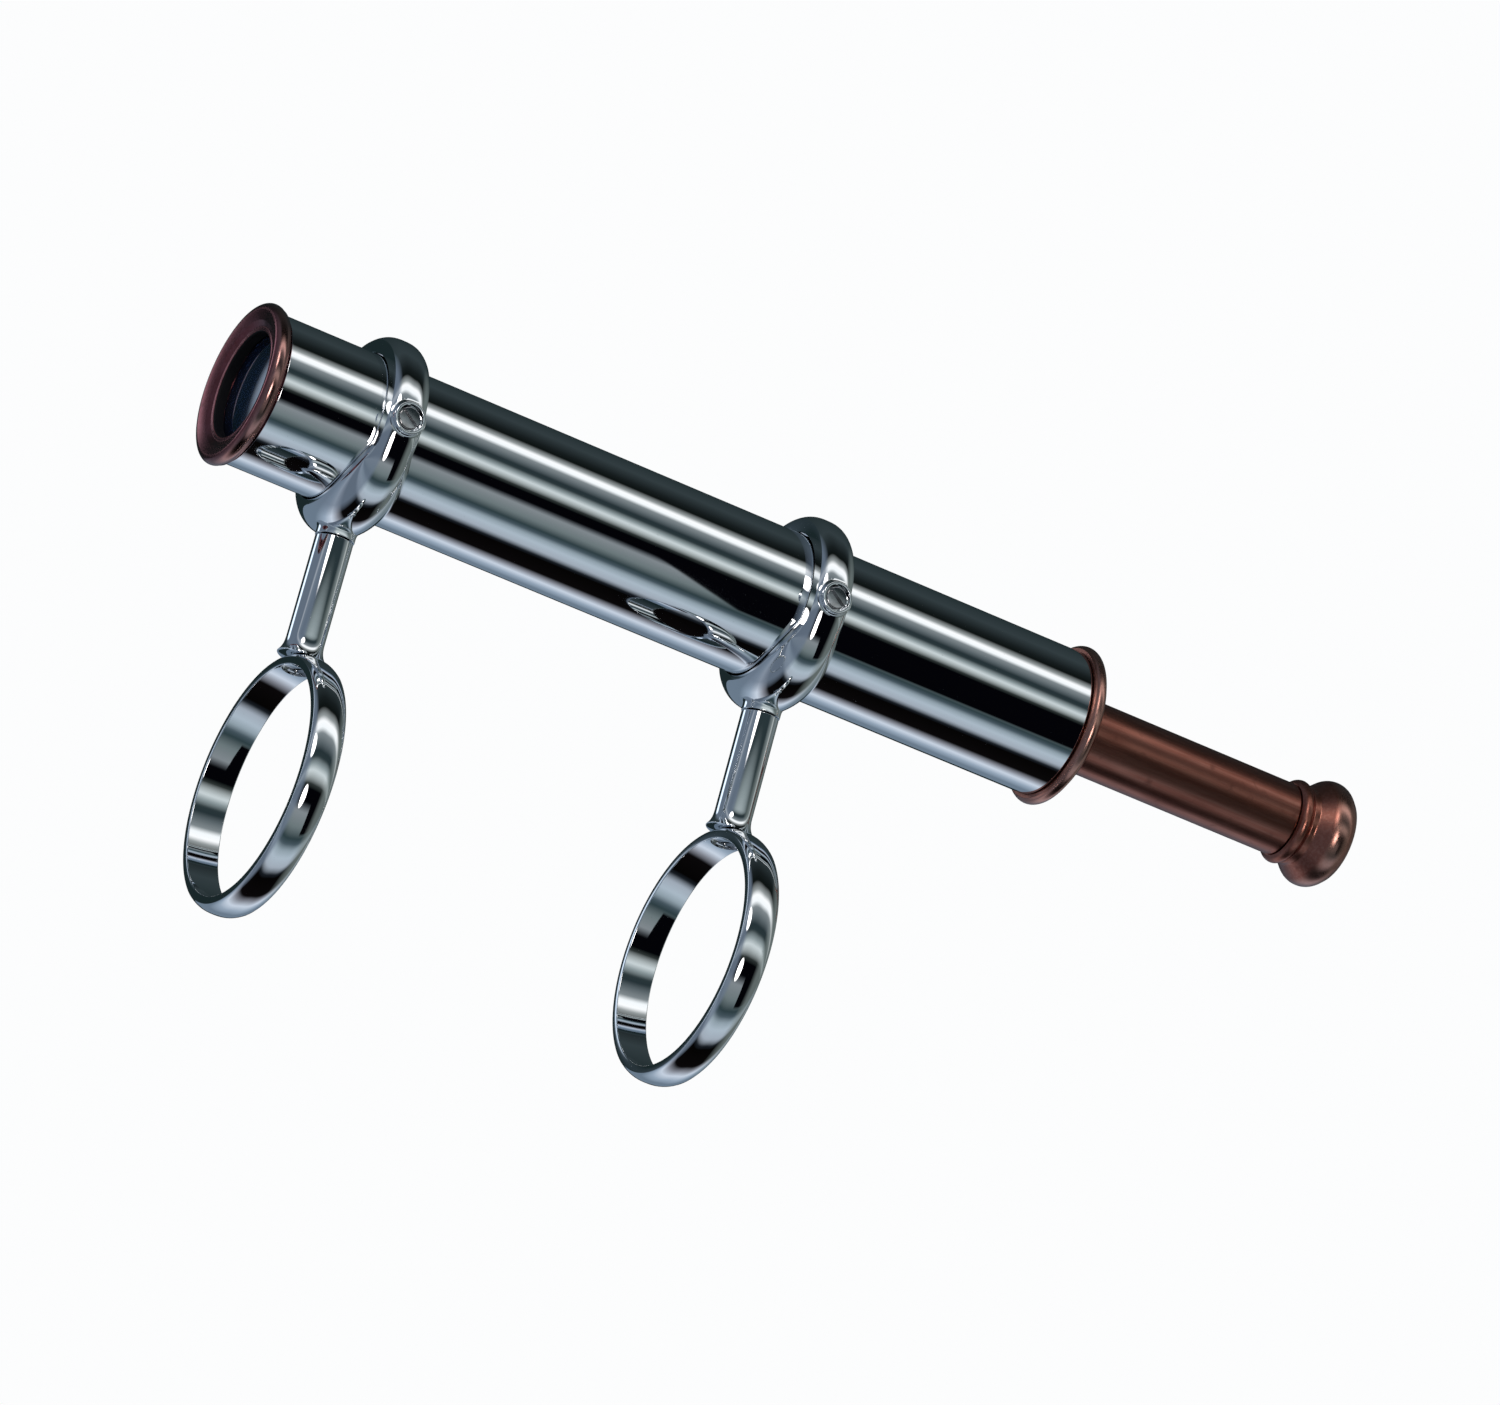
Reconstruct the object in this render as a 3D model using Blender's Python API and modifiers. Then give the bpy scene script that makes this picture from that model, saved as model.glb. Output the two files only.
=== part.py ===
"""Finder scope: a small refracting telescope held by two post brackets.

World axes: +X runs along the optical axis from the objective to the eyepiece, +Z runs from the
main telescope's axis up to the finder's axis. The origin is on the main telescope's axis, midway
between the two bands that go round its tube. Units are metres.
"""
import math

import bmesh
import bpy

MM = 0.001
GAP = 0.3 * MM  # clearance left between pieces that touch or screw together

# Brackets
MAIN_TUBE_RADIUS = 25.5 * MM
BAND_BORE_RADIUS = MAIN_TUBE_RADIUS + GAP
BAND_OUTER_RADIUS = 28.8 * MM
BAND_WIDTH = 7.6 * MM
BRACKET_SPACING = 105.8 * MM
FINDER_HEIGHT = 79.5 * MM  # between the two optical axes
RING_OUTER_RADIUS = 21.6 * MM
RING_WIDTH = 8.2 * MM
SHOE_RADIUS = 23.0 * MM  # lowest point of the ring's thickened underside
SHOE_EDGE_RADIUS = 17.9 * MM
SHOE_WIDTH = 14.0 * MM
SHOE_REACH = 65  # degrees round the ring on each side of the post
NECK_RADIUS = 4.5 * MM
NECK_BOTTOM = 23.8 * MM  # below the finder's axis
POST_RADIUS = 4.15 * MM
POST_FOOT_RADIUS = 5.2 * MM
POST_FLARE_HEIGHT = 3.6 * MM
BOSS_RADIUS = 3.6 * MM
BOSS_REACH = 22.6 * MM  # boss face, out from the finder's axis

# Screws
SCREW_RADIUS = 1.5 * MM
SCREW_HOLE_RADIUS = SCREW_RADIUS + GAP
COUNTERSUNK_RADIUS = 3.0 * MM
COUNTERSUNK_DEPTH = 1.5 * MM
CLAMP_HEAD_RADIUS = 2.5 * MM
CLAMP_HEAD_DEPTH = 1.4 * MM
HEAD_RECESS = 0.4 * MM  # how far each head sits below the face round it
BAND_SCREW_LENGTH = 10.0 * MM
RING_SCREW_LENGTH = 15.0 * MM
PAD_THICKNESS = 0.9 * MM
SLOT_WIDTH = 0.8 * MM
SLOT_DEPTH = 0.7 * MM
SLOT_TOOL_LENGTH = 8.0 * MM
CLAMP_SLOT_TURN = 0.6  # radians

# Finder body, with stations measured along the axis from the objective's opening
OBJECTIVE_X = -82.35 * MM
TUBE_RADIUS = 16.8 * MM
TUBE_WALL = 1.2 * MM
TUBE_FRONT = 2.3 * MM
TUBE_REAR = 203.2 * MM
LIP_RADIUS = 18.2 * MM
CLEAR_RADIUS = 11.9 * MM
LENS_RADIUS = 13.2 * MM
CELL_REAR = 15.0 * MM
RETAINER_FRONT = 9.3 * MM
RETAINER_REAR = 11.8 * MM
STOP_LENGTH = 4.0 * MM
STOP_WALL = 0.8 * MM
LIGHT_STOPS = (("front_light_stop", 55.0 * MM, 10.5 * MM), ("rear_light_stop", 98.0 * MM, 8.5 * MM))
RIM_RADIUS = 18.5 * MM
CAP_FRONT = 195.0 * MM
CAP_REAR = 210.2 * MM

# Draw tube and eyepiece
DRAW_RADIUS = 8.4 * MM
DRAW_WALL = 1.0 * MM
DRAW_FRONT = 163.0 * MM
DRAW_REAR = 264.6 * MM
GUIDE_FRONT = 183.0 * MM
GUIDE_RADIUS = 11.5 * MM
COLLAR_RADIUS = 10.8 * MM
BARREL_FRONT = 240.0 * MM
BARREL_REAR = 272.0 * MM
BARREL_RADIUS = 7.1 * MM
BARREL_BORE = 6.2 * MM
EYE_LENS_RADIUS = 5.9 * MM
EYE_FLANGE_RADIUS = 12.3 * MM
EYE_HOLE_RADIUS = 3.3 * MM
EYE_REAR = 278.5 * MM
WIRE_DIAMETER = 0.25 * MM

LARGE_STEPS = 40
MEDIUM_STEPS = 32
SMALL_STEPS = 20
SEAM_SPIN = 0.07  # radians

# name: (colour, roughness, metallic, transmission)
FINISHES = {
    "chrome": ((0.80, 0.81, 0.83), 0.06, 1.0, 0.0),
    "antique_copper": ((0.30, 0.13, 0.09), 0.32, 1.0, 0.0),
    "steel": ((0.62, 0.62, 0.63), 0.25, 1.0, 0.0),
    "brass": ((0.70, 0.52, 0.25), 0.30, 1.0, 0.0),
    "black_anodised": ((0.02, 0.02, 0.022), 0.60, 0.0, 0.0),
    "nylon": ((0.85, 0.83, 0.76), 0.45, 0.0, 0.0),
    "coated_glass": ((0.10, 0.14, 0.24), 0.03, 0.0, 1.0),
}


def new_collection(name):
    """Make a collection in the scene."""
    collection = bpy.data.collections.new(name)
    bpy.context.scene.collection.children.link(collection)
    return collection


def give_material(obj, finish):
    """Give a sub-part its own Principled material."""
    colour, roughness, metallic, transmission = FINISHES[finish]
    material = bpy.data.materials.new(obj.name + "_" + finish)
    material.use_nodes = True
    shader = material.node_tree.nodes["Principled BSDF"]
    shader.inputs["Base Color"].default_value = (*colour, 1.0)
    shader.inputs["Roughness"].default_value = roughness
    shader.inputs["Metallic"].default_value = metallic
    shader.inputs["Transmission Weight"].default_value = transmission
    obj.data.materials.append(material)


def arc(centre_r, centre_h, radius, start_deg, end_deg, steps):
    """Points on a circular arc in the (radius, height) plane, both ends included."""
    points = []
    for i in range(steps + 1):
        angle = math.radians(start_deg + (end_deg - start_deg) * i / steps)
        points.append((centre_r + radius * math.cos(angle), centre_h + radius * math.sin(angle)))
    return points


def run_down_outside(profile):
    """Order a profile so that its outer side runs from top to bottom."""
    area = 0.0
    for (r0, h0), (r1, h1) in zip(profile, profile[1:] + profile[:1]):
        area += r0 * h1 - r1 * h0
    return profile[::-1] if area > 0 else profile


def turned(name, profile, axis, origin, steps, collection, finish=None, spin=0.0):
    """Turn a (radius, height) profile about the world X, -Y or Z axis through origin.

    A profile that starts and ends on the axis makes a solid piece, any other is a closed loop.
    Spin turns the seams about the piece's own axis, off its neighbours' edges.
    """
    profile = run_down_outside(profile)
    count = len(profile)
    edges = [(i, i + 1) for i in range(count - 1)]
    on_axis = profile[0][0] < 1e-9 and profile[-1][0] < 1e-9
    if not on_axis:
        edges.append((count - 1, 0))
    mesh = bpy.data.meshes.new(name)
    c, s = math.cos(spin), math.sin(spin)
    mesh.from_pydata([(r * c, r * s, h) for r, h in profile], edges, [])
    obj = bpy.data.objects.new(name, mesh)
    collection.objects.link(obj)
    obj.location = origin
    obj.rotation_euler = {
        "X": (0.0, math.pi / 2, 0.0),
        "-Y": (math.pi / 2, 0.0, 0.0),
        "Z": (0.0, 0.0, 0.0),
    }[axis]
    screw = obj.modifiers.new("turn", "SCREW")
    screw.axis = "Z"
    screw.angle = 2 * math.pi
    screw.steps = steps
    screw.render_steps = steps
    screw.use_merge_vertices = on_axis
    screw.merge_threshold = 0.00001
    screw.use_smooth_shade = True
    if finish:
        give_material(obj, finish)
    else:
        obj.hide_render = True
        obj.display_type = "WIRE"
    return obj


def block(name, centre, size, collection, rotation=(0.0, 0.0, 0.0)):
    """A box-shaped cutter."""
    bpy.ops.mesh.primitive_cube_add(size=1.0, location=centre, rotation=rotation)
    obj = bpy.context.active_object
    obj.name = name
    obj.data.name = name
    obj.scale = size
    for owner in list(obj.users_collection):
        owner.objects.unlink(obj)
    collection.objects.link(obj)
    obj.hide_render = True
    obj.display_type = "WIRE"
    return obj


def boolean(obj, tool, operation):
    """Add an exact Boolean modifier."""
    modifier = obj.modifiers.new(operation.lower() + "_" + tool.name, "BOOLEAN")
    modifier.operation = operation
    modifier.solver = "EXACT"
    modifier.object = tool


def plain_ring(inner, outer, low, high):
    """Closed square profile of a ring or sleeve."""
    return [(outer, high), (outer, low), (inner, low), (inner, high)]


def rod(radius, low, high):
    """Open profile of a solid cylinder."""
    return [(0.0, high), (radius, high), (radius, low), (0.0, low)]


def surface(rim, edge_h, sag, steps=4):
    """Spherical lens surface from the axis to the rim; sag is the height of its middle."""
    if abs(sag) < 1e-9:
        return [(0.0, edge_h), (rim, edge_h)]
    curve = (rim * rim + sag * sag) / (2 * sag)
    points = []
    for i in range(steps + 1):
        r = rim * i / steps
        depth = math.copysign(math.sqrt(curve * curve - r * r), curve) - (curve - sag)
        points.append((r, edge_h + depth))
    return points


def lens(rim, front_edge, front_sag, rear_edge, rear_sag):
    """Profile of a lens; a positive sag bulges towards +height."""
    front = surface(rim, front_edge, front_sag)
    rear = surface(rim, rear_edge, rear_sag)
    return rear + front[::-1]


def countersunk_screw(length):
    """Profile of a countersunk screw, its head's flat face at height 0."""
    return [
        (0.0, 0.0),
        (COUNTERSUNK_RADIUS, 0.0),
        (SCREW_RADIUS, -COUNTERSUNK_DEPTH),
        (SCREW_RADIUS, -length),
        (0.0, -length),
    ]


def countersunk_hole(length, above):
    """Cutter profile for a countersunk screw, running above its head's flat face."""
    return [
        (0.0, above),
        (COUNTERSUNK_RADIUS + GAP, above),
        (COUNTERSUNK_RADIUS + GAP, 0.0),
        (SCREW_HOLE_RADIUS, -COUNTERSUNK_DEPTH),
        (SCREW_HOLE_RADIUS, -length),
        (0.0, -length),
    ]


def build_band(side, x, parts, cutters):
    """Band round the main tube, crowned outside and drilled for the post's screw."""
    half = BAND_WIDTH / 2
    crown = BAND_OUTER_RADIUS
    profile = [
        (crown - 1.0 * MM, half),
        (crown - 0.3 * MM, half - 0.7 * MM),
        (crown, half - 2.0 * MM),
        (crown, -half + 2.0 * MM),
        (crown - 0.3 * MM, -half + 0.7 * MM),
        (crown - 1.0 * MM, -half),
        (BAND_BORE_RADIUS, -half),
        (BAND_BORE_RADIUS, half),
    ]
    band = turned(side + "_band", profile, "X", (x, 0, 0), LARGE_STEPS, parts, "chrome")
    head = (x, 0, BAND_BORE_RADIUS + HEAD_RECESS)
    hole = [(r, -h) for r, h in countersunk_hole(5 * MM, 2 * MM)]
    hole_tool = turned(side + "_band_hole", hole, "Z", head, SMALL_STEPS, cutters)
    boolean(band, hole_tool, "DIFFERENCE")
    shape = [(r, -h) for r, h in countersunk_screw(BAND_SCREW_LENGTH)]
    screw = turned(side + "_band_screw", shape, "Z", head, SMALL_STEPS, parts, "steel")
    slot_size = (SLOT_WIDTH, SLOT_TOOL_LENGTH, 2 * SLOT_DEPTH)
    boolean(screw, block(side + "_band_screw_slot", head, slot_size, cutters), "DIFFERENCE")


def build_post(side, x, parts, cutters):
    """Round post from the band up to the ring's neck, flared at its foot."""
    top = FINDER_HEIGHT - NECK_BOTTOM - GAP
    foot = BAND_OUTER_RADIUS
    buried = foot - 3 * MM
    flare = POST_FOOT_RADIUS - POST_RADIUS
    profile = [(0.0, top), (POST_RADIUS, top)]
    for t in (0.0, 0.4, 0.7, 0.88, 1.0):
        profile.append((POST_RADIUS + flare * t**3, foot + 0.4 * MM + POST_FLARE_HEIGHT * (1 - t)))
    profile += [(POST_FOOT_RADIUS, buried), (0.0, buried)]
    post = turned(side + "_post", profile, "Z", (x, 0, 0), SMALL_STEPS, parts, "chrome")
    seat = rod(BAND_OUTER_RADIUS + GAP, -20 * MM, 20 * MM)
    low_hole = rod(SCREW_HOLE_RADIUS, buried, foot + BAND_SCREW_LENGTH - 1 * MM)
    top_hole = rod(SCREW_HOLE_RADIUS, top - RING_SCREW_LENGTH + 6 * MM, top + 3 * MM)
    for label, shape, axis, steps in (
        ("seat", seat, "X", LARGE_STEPS),
        ("low_hole", low_hole, "Z", SMALL_STEPS),
        ("top_hole", top_hole, "Z", SMALL_STEPS),
    ):
        tool = turned(side + "_post_" + label, shape, axis, (x, 0, 0), steps, cutters)
        boolean(post, tool, "DIFFERENCE")


def shoe(name, centre, collection):
    """Loft for the ring's underside: domed sections, each in a plane through the finder's axis."""
    sections = 14
    inside = TUBE_RADIUS - 2 * MM
    mesh = bmesh.new()
    rows = []
    for i in range(sections + 1):
        t = 2 * i / sections - 1
        angle = math.radians(SHOE_REACH * t)
        swell = 1 - t**4
        half = 4.0 * MM + (SHOE_WIDTH / 2 - 4.0 * MM) * swell
        crown = RING_OUTER_RADIUS - 0.2 * MM + (SHOE_RADIUS - RING_OUTER_RADIUS + 0.2 * MM) * swell
        section = [(-half, inside)]
        for u in (-1.0, -0.88, -0.66, -0.36, 0.0, 0.36, 0.66, 0.88, 1.0):
            dome = (1 - abs(u) ** 2.3) ** 0.83
            section.append((half * u, SHOE_EDGE_RADIUS + (crown - SHOE_EDGE_RADIUS) * dome))
        section.append((half, inside))
        rows.append([mesh.verts.new((x, r * math.sin(angle), -r * math.cos(angle))) for x, r in section])
    for low, high in zip(rows, rows[1:]):
        for k in range(len(low)):
            n = (k + 1) % len(low)
            mesh.faces.new((low[k], low[n], high[n], high[k]))
    mesh.faces.new(rows[0])
    mesh.faces.new(rows[-1])
    bmesh.ops.triangulate(mesh, faces=mesh.faces)
    bmesh.ops.recalc_face_normals(mesh, faces=mesh.faces)
    data = bpy.data.meshes.new(name)
    mesh.to_mesh(data)
    mesh.free()
    obj = bpy.data.objects.new(name, data)
    obj.location = centre
    collection.objects.link(obj)
    obj.hide_render = True
    obj.display_type = "WIRE"
    return obj


def build_ring(side, x, parts, cutters):
    """Clamp ring, thickened underneath, with a neck for its post and a boss for its clamp screw."""
    half = RING_WIDTH / 2
    crown = RING_OUTER_RADIUS
    axis_point = (x, 0, FINDER_HEIGHT)
    profile = [
        (0.0, half),
        (crown - 1.5 * MM, half),
        (crown - 0.5 * MM, half - 1.1 * MM),
        (crown, half - 2.8 * MM),
        (crown, -half + 2.8 * MM),
        (crown - 0.5 * MM, -half + 1.1 * MM),
        (crown - 1.5 * MM, -half),
        (0.0, -half),
    ]
    ring = turned(side + "_ring", profile, "X", axis_point, LARGE_STEPS, parts, "chrome")
    boolean(ring, shoe(side + "_ring_shoe", axis_point, cutters), "UNION")
    neck = rod(NECK_RADIUS, -NECK_BOTTOM, -12 * MM)
    boss = rod(BOSS_RADIUS, 18.5 * MM, BOSS_REACH)
    bore = rod(TUBE_RADIUS + GAP, -15 * MM, 15 * MM)
    pocket = BOSS_REACH - HEAD_RECESS - CLAMP_HEAD_DEPTH - GAP
    clamp_hole = [
        (0.0, BOSS_REACH + 1 * MM),
        (CLAMP_HEAD_RADIUS + GAP, BOSS_REACH + 1 * MM),
        (CLAMP_HEAD_RADIUS + GAP, pocket),
        (SCREW_HOLE_RADIUS, pocket),
        (SCREW_HOLE_RADIUS, 12 * MM),
        (0.0, 12 * MM),
    ]
    under = (x, 0, FINDER_HEIGHT - TUBE_RADIUS - GAP - HEAD_RECESS)
    post_hole = countersunk_hole(10 * MM, 4 * MM)
    for label, shape, axis, place, steps, operation in (
        ("neck", neck, "Z", axis_point, MEDIUM_STEPS, "UNION"),
        ("boss", boss, "-Y", axis_point, MEDIUM_STEPS, "UNION"),
        ("clamp_hole", clamp_hole, "-Y", axis_point, SMALL_STEPS, "DIFFERENCE"),
        ("post_screw_hole", post_hole, "Z", under, SMALL_STEPS, "DIFFERENCE"),
        ("bore", bore, "X", axis_point, LARGE_STEPS, "DIFFERENCE"),
    ):
        tool = turned(side + "_ring_" + label, shape, axis, place, steps, cutters, spin=SEAM_SPIN)
        boolean(ring, tool, operation)
    shape = countersunk_screw(RING_SCREW_LENGTH)
    screw = turned(side + "_ring_screw", shape, "Z", under, SMALL_STEPS, parts, "steel")
    slot_size = (SLOT_WIDTH, SLOT_TOOL_LENGTH, 2 * SLOT_DEPTH)
    boolean(screw, block(side + "_ring_screw_slot", under, slot_size, cutters), "DIFFERENCE")


def build_clamp(side, x, parts, cutters):
    """Slotted clamp screw in the ring's boss, and the pad between its tip and the tube."""
    axis_point = (x, 0, FINDER_HEIGHT)
    head_top = BOSS_REACH - HEAD_RECESS
    head_low = head_top - CLAMP_HEAD_DEPTH
    pad_low = TUBE_RADIUS + GAP
    pad_high = pad_low + PAD_THICKNESS
    profile = [
        (0.0, head_top),
        (CLAMP_HEAD_RADIUS - 0.4 * MM, head_top),
        (CLAMP_HEAD_RADIUS, head_top - 0.4 * MM),
        (CLAMP_HEAD_RADIUS, head_low),
        (SCREW_RADIUS, head_low),
        (SCREW_RADIUS, pad_high + GAP),
        (0.0, pad_high + GAP),
    ]
    screw = turned(side + "_clamp_screw", profile, "-Y", axis_point, SMALL_STEPS, parts, "steel")
    centre = (x, -head_top, FINDER_HEIGHT)
    slot_size = (SLOT_TOOL_LENGTH, 2 * SLOT_DEPTH, SLOT_WIDTH)
    slot = block(side + "_clamp_slot", centre, slot_size, cutters, (0.0, CLAMP_SLOT_TURN, 0.0))
    boolean(screw, slot, "DIFFERENCE")
    pad = rod(SCREW_RADIUS, pad_low, pad_high)
    turned(side + "_clamp_pad", pad, "-Y", axis_point, SMALL_STEPS, parts, "nylon")


def build_objective(origin, parts, cutters):
    """Objective cell with its air-spaced doublet, spacer and threaded retaining ring."""
    pocket = LENS_RADIUS + GAP
    spigot = TUBE_RADIUS - TUBE_WALL - GAP
    shoulder = TUBE_FRONT - GAP
    lip = [(spigot, CELL_REAR), (spigot, shoulder), (TUBE_RADIUS, shoulder)]
    lip += [(TUBE_RADIUS + 0.7 * MM, 1.8 * MM)]
    lip += arc(LIP_RADIUS - 1.7 * MM, 0.0, 1.7 * MM, 10, -100, 5)
    lip += [(14.0 * MM, -0.9 * MM), (CLEAR_RADIUS + 0.7 * MM, -0.2 * MM), (CLEAR_RADIUS, 0.5 * MM)]
    lip += [(CLEAR_RADIUS, 2.2 * MM), (pocket, 2.2 * MM), (pocket, CELL_REAR)]
    turned("objective_cell", lip, "X", origin, LARGE_STEPS, parts, "antique_copper")
    crown = lens(LENS_RADIUS, 2.5 * MM, -1.2 * MM, 5.0 * MM, 0.9 * MM)
    turned("objective_crown_lens", crown, "X", origin, MEDIUM_STEPS, parts, "coated_glass")
    spacer = plain_ring(LENS_RADIUS - 1.2 * MM, LENS_RADIUS, 5.3 * MM, 6.0 * MM)
    turned("objective_spacer", spacer, "X", origin, MEDIUM_STEPS, parts, "black_anodised")
    flint = lens(LENS_RADIUS, 6.3 * MM, 0.7 * MM, 9.0 * MM, 0.0)
    turned("objective_flint_lens", flint, "X", origin, MEDIUM_STEPS, parts, "coated_glass")
    keeper = plain_ring(LENS_RADIUS - 1.9 * MM, LENS_RADIUS, RETAINER_FRONT, RETAINER_REAR)
    ring = turned("objective_retaining_ring", keeper, "X", origin, MEDIUM_STEPS, parts, "black_anodised")
    centre = (origin[0] + RETAINER_REAR, 0.0, origin[2])
    slots = block("retaining_ring_slots", centre, (2 * MM, 3 * LENS_RADIUS, 1.4 * MM), cutters)
    boolean(ring, slots, "DIFFERENCE")


def build_baffle(name, origin, station, opening, parts):
    """Blackened light stop on a short sleeve inside the body tube."""
    outer = TUBE_RADIUS - TUBE_WALL - GAP
    profile = [
        (outer, station + STOP_LENGTH),
        (outer, station),
        (opening, station),
        (opening, station + STOP_WALL),
        (outer - STOP_WALL, station + STOP_WALL),
        (outer - STOP_WALL, station + STOP_LENGTH),
    ]
    turned(name, profile, "X", origin, MEDIUM_STEPS, parts, "black_anodised")


def build_body(origin, parts):
    """Body tube, light stops, rear end cap and the guide bush for the draw tube."""
    bore = TUBE_RADIUS - TUBE_WALL
    tube = plain_ring(bore, TUBE_RADIUS, TUBE_FRONT, TUBE_REAR)
    turned("body_tube", tube, "X", origin, LARGE_STEPS, parts, "chrome")
    for name, station, opening in LIGHT_STOPS:
        build_baffle(name, origin, station, opening, parts)
    rim = TUBE_REAR + GAP
    pocket_end = CAP_REAR - 2.3 * MM
    cap = [(bore - GAP, CAP_FRONT), (bore - GAP, rim), (TUBE_RADIUS, rim), (RIM_RADIUS - 0.4 * MM, rim)]
    cap += [(RIM_RADIUS, rim + 0.8 * MM), (RIM_RADIUS, rim + 2.2 * MM)]
    cap += [(RIM_RADIUS - 0.5 * MM, rim + 3.2 * MM)]
    cap += [(RIM_RADIUS - 2.0 * MM, rim + 4.4 * MM), (13.5 * MM, CAP_REAR - 1.1 * MM)]
    cap += [(10.5 * MM, CAP_REAR), (DRAW_RADIUS + GAP, CAP_REAR), (DRAW_RADIUS + GAP, pocket_end)]
    cap += [(GUIDE_RADIUS + GAP, pocket_end), (GUIDE_RADIUS + GAP, CAP_FRONT)]
    turned("rear_end_cap", cap, "X", origin, LARGE_STEPS, parts, "antique_copper")
    guide = plain_ring(DRAW_RADIUS + GAP, GUIDE_RADIUS, GUIDE_FRONT, pocket_end - GAP)
    turned("draw_guide_bush", guide, "X", origin, MEDIUM_STEPS, parts, "brass")


def build_draw(origin, parts):
    """Draw tube and the collar that stops it from pulling out of the guide."""
    draw = plain_ring(DRAW_RADIUS - DRAW_WALL, DRAW_RADIUS, DRAW_FRONT, DRAW_REAR)
    turned("draw_tube", draw, "X", origin, MEDIUM_STEPS, parts, "antique_copper")
    collar = plain_ring(DRAW_RADIUS + GAP, COLLAR_RADIUS, DRAW_FRONT + 1 * MM, DRAW_FRONT + 6 * MM)
    turned("draw_stop_collar", collar, "X", origin, MEDIUM_STEPS, parts, "brass")


def build_crosswires(origin, station, parts, cutters):
    """Two crossed wires behind the reticle ring."""
    reach = EYE_LENS_RADIUS - GAP
    profile = rod(WIRE_DIAMETER / 2, -reach, reach)
    centre = (origin[0] + station, 0.0, origin[2])
    upright = turned("crosswires", profile, "Z", centre, 8, parts, "steel")
    level = turned("crosswire_level", profile, "-Y", centre, 8, cutters)
    boolean(upright, level, "UNION")


def build_eyepiece(origin, parts, cutters):
    """Eyepiece: barrel with reticle and two lenses, closed by the flanged cap."""
    rim = EYE_LENS_RADIUS
    bore = BARREL_BORE
    front = BARREL_FRONT
    barrel = [(BARREL_RADIUS, BARREL_REAR), (BARREL_RADIUS, front), (5.0 * MM, front)]
    barrel += [(5.0 * MM, front + 1.5 * MM), (bore, front + 1.5 * MM), (bore, BARREL_REAR)]
    turned("eyepiece_barrel", barrel, "X", origin, MEDIUM_STEPS, parts, "brass")
    rings = (
        ("reticle_ring", 5.0 * MM, 1.8 * MM, 3.3 * MM, "brass"),
        ("reticle_spacer", 5.2 * MM, 4.1 * MM, 10.0 * MM, "black_anodised"),
        ("eyepiece_lens_spacer", 5.2 * MM, 13.3 * MM, 26.0 * MM, "black_anodised"),
        ("eye_lens_retaining_ring", 4.4 * MM, 29.6 * MM, 31.6 * MM, "black_anodised"),
    )
    for name, inner, low, high, finish in rings:
        profile = plain_ring(inner, rim, front + low, front + high)
        turned(name, profile, "X", origin, SMALL_STEPS, parts, finish)
    build_crosswires(origin, front + 3.7 * MM, parts, cutters)
    field = lens(rim, front + 10.3 * MM, 0.0, front + 12.0 * MM, 0.8 * MM)
    turned("field_lens", field, "X", origin, SMALL_STEPS, parts, "coated_glass")
    eye = lens(rim, front + 27.4 * MM, -0.8 * MM, front + 29.3 * MM, 0.0)
    turned("eye_lens", eye, "X", origin, SMALL_STEPS, parts, "coated_glass")
    pocket = BARREL_RADIUS + GAP
    bead = DRAW_REAR + GAP + 1.5 * MM
    cap = [(pocket, BARREL_REAR + GAP), (pocket, bead - 1.5 * MM)]
    cap += [(DRAW_RADIUS - 0.2 * MM, bead - 1.5 * MM)]
    cap += arc(DRAW_RADIUS, bead, 1.4 * MM, -60, 60, 4)
    cap += [(9.0 * MM, bead + 2.4 * MM), (9.3 * MM, bead + 3.6 * MM), (10.3 * MM, bead + 4.8 * MM)]
    cap += arc(EYE_FLANGE_RADIUS - 2.8 * MM, EYE_REAR - 3.6 * MM, 2.8 * MM, -45, 75, 6)
    cap += [(9.0 * MM, EYE_REAR), (7.6 * MM, EYE_REAR - 0.3 * MM), (5.0 * MM, EYE_REAR - 2.0 * MM)]
    cap += [(EYE_HOLE_RADIUS, EYE_REAR - 3.6 * MM), (EYE_HOLE_RADIUS, BARREL_REAR + GAP)]
    turned("eyepiece_cap", cap, "X", origin, MEDIUM_STEPS, parts, "antique_copper")


def main():
    """Clear the scene and build every sub-part."""
    for obj in list(bpy.data.objects):
        bpy.data.objects.remove(obj, do_unlink=True)
    parts = new_collection("finder_scope")
    cutters = new_collection("cutters")
    for side, x in (("front", -BRACKET_SPACING / 2), ("rear", BRACKET_SPACING / 2)):
        build_band(side, x, parts, cutters)
        build_post(side, x, parts, cutters)
        build_ring(side, x, parts, cutters)
        build_clamp(side, x, parts, cutters)
    origin = (OBJECTIVE_X, 0.0, FINDER_HEIGHT)
    build_objective(origin, parts, cutters)
    build_body(origin, parts)
    build_draw(origin, parts)
    build_eyepiece(origin, parts, cutters)


main()
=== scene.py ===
"""Looks for the finder scope: detailed pieces, materials, studio and camera, in metres."""
import math

import bmesh
import bpy
from mathutils import Matrix, Vector


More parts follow.
